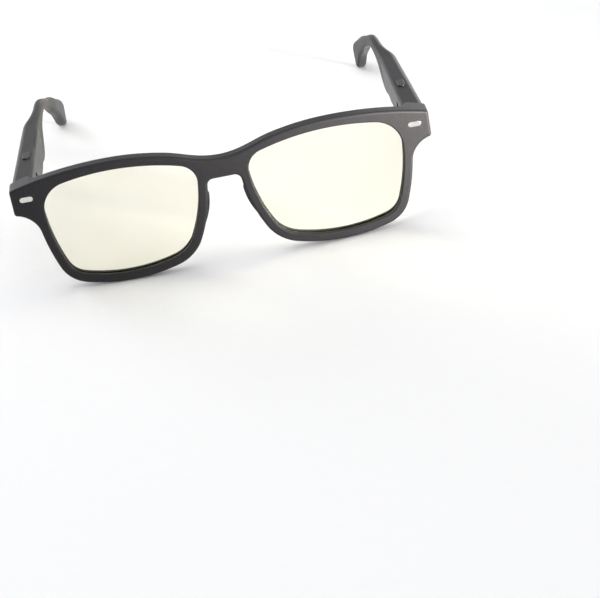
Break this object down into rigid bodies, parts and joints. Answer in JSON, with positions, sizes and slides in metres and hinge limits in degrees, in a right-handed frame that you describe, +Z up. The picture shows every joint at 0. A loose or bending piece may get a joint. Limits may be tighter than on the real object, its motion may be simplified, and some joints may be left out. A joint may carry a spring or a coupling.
{
  "type": "smart glasses",
  "caption": "Folding smart glasses: curved full-rim front with clear coated lenses, hollow temples with speakers, charging contacts and a key, and bent ear tips.",
  "frame": {"origin": "middle of the glasses' footprint on the surface that they stand on, with both temples open", "axes": "+X towards the wearer's left, +Y from the front back along the temples, +Z up; the front faces -Y"},
  "size_m": [0.139, 0.1428, 0.0434],
  "materials": {
    "frame_plastic": "soft matte charcoal",
    "temple_plastic": "soft matte charcoal",
    "cover_plastic": "fine matte charcoal",
    "key_plastic": "soft matte charcoal",
    "lens_coating": "clear with a faint warm tint and a green coating reflection",
    "plate_metal": "satin silver",
    "hinge_metal": "dark satin",
    "screw_metal": "satin",
    "core_metal": "plain",
    "panel_plastic": "smooth black",
    "contact_gold": "gold plated",
    "magnet_metal": "plated",
    "light_pipe": "clear milky",
    "board_laminate": "coated laminate",
    "cell_foil": "foil",
    "flex_film": "amber film",
    "speaker_metal": "dark",
    "mesh_metal": "black woven",
    "microphone_metal": "plain",
    "switch_plastic": "plain"
  },
  "bodies": {
    "front": {"front_frame": "frame_plastic", "left_lens": "lens_coating", "left_pin_plate": "plate_metal", "left_frame_hinge": "hinge_metal", "left_hinge_screw": "screw_metal", "right_lens": "lens_coating", "right_pin_plate": "plate_metal", "right_frame_hinge": "hinge_metal", "right_hinge_screw": "screw_metal"},
    "left_temple": {"left_temple_housing": "temple_plastic", "left_temple_hinge": "hinge_metal", "left_hinge_leaf_screws": "screw_metal", "left_arm_core": "core_metal", "left_front_cover": "cover_plastic", "left_rear_cover": "cover_plastic", "left_contact_panel": "panel_plastic", "left_charging_contacts": "contact_gold", "left_magnets": "magnet_metal", "left_status_light": "light_pipe", "left_circuit_board": "board_laminate", "left_battery": "cell_foil", "left_flex_cable": "flex_film", "left_speaker": "speaker_metal", "left_speaker_mesh": "mesh_metal", "left_microphone": "microphone_metal", "left_key_switch": "switch_plastic"},
    "right_temple": {"right_temple_housing": "temple_plastic", "right_temple_hinge": "hinge_metal", "right_hinge_leaf_screws": "screw_metal", "right_arm_core": "core_metal", "right_front_cover": "cover_plastic", "right_rear_cover": "cover_plastic", "right_contact_panel": "panel_plastic", "right_charging_contacts": "contact_gold", "right_magnets": "magnet_metal", "right_status_light": "light_pipe", "right_circuit_board": "board_laminate", "right_battery": "cell_foil", "right_flex_cable": "flex_film", "right_speaker": "speaker_metal", "right_speaker_mesh": "mesh_metal", "right_microphone": "microphone_metal", "right_key_switch": "switch_plastic"},
    "left_key": {"left_key": "key_plastic"},
    "right_key": {"right_key": "key_plastic"}
  },
  "joints": [
    {"name": "left_temple_fold", "type": "hinge", "parent": "front", "child": "left_temple", "pos_m": [0.0617, -0.05878, 0.03268], "axis": [0, 0.0467, 0.9989], "range_deg": [0, 90]},
    {"name": "right_temple_fold", "type": "hinge", "parent": "front", "child": "right_temple", "pos_m": [-0.0617, -0.05878, 0.03268], "axis": [0, -0.0467, -0.9989], "range_deg": [0, 84]},
    {"name": "left_key_press", "type": "slide", "parent": "left_temple", "child": "left_key", "axis": [0, -0.1093, -0.994], "range_m": [0, 0.00035], "stiffness_N_per_m": 800},
    {"name": "right_key_press", "type": "slide", "parent": "right_temple", "child": "right_key", "axis": [0, -0.1093, -0.994], "range_m": [0, 0.00035], "stiffness_N_per_m": 800}
  ]
}
